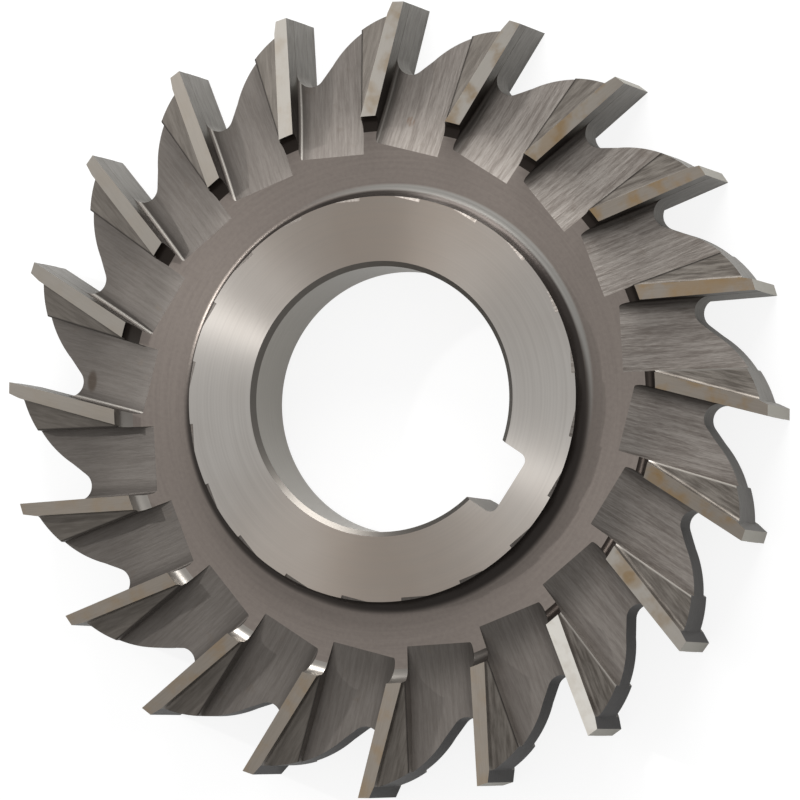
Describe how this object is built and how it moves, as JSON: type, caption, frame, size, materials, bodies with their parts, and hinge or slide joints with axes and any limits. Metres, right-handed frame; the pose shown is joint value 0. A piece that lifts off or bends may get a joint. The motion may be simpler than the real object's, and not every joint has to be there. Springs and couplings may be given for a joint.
{
  "type": "side and face cutter",
  "caption": "Flat disc milling cutter with teeth cut across its rim and into both faces, a raised hub and a plain bore with a keyway; it mills slots and shoulders on an arbor.",
  "frame": {"origin": "centre of the lower hub face, on the bore's axis", "axes": "+Z along the bore, out of the upper hub face; +X through the middle of the keyway"},
  "size_m": [0.076, 0.076, 0.0086],
  "materials": {
    "tool_steel": "bare high-speed steel, milled web and gashes, ground hub and lands"
  },
  "bodies": {
    "root": {"cutter": "tool_steel"}
  },
  "joints": []
}
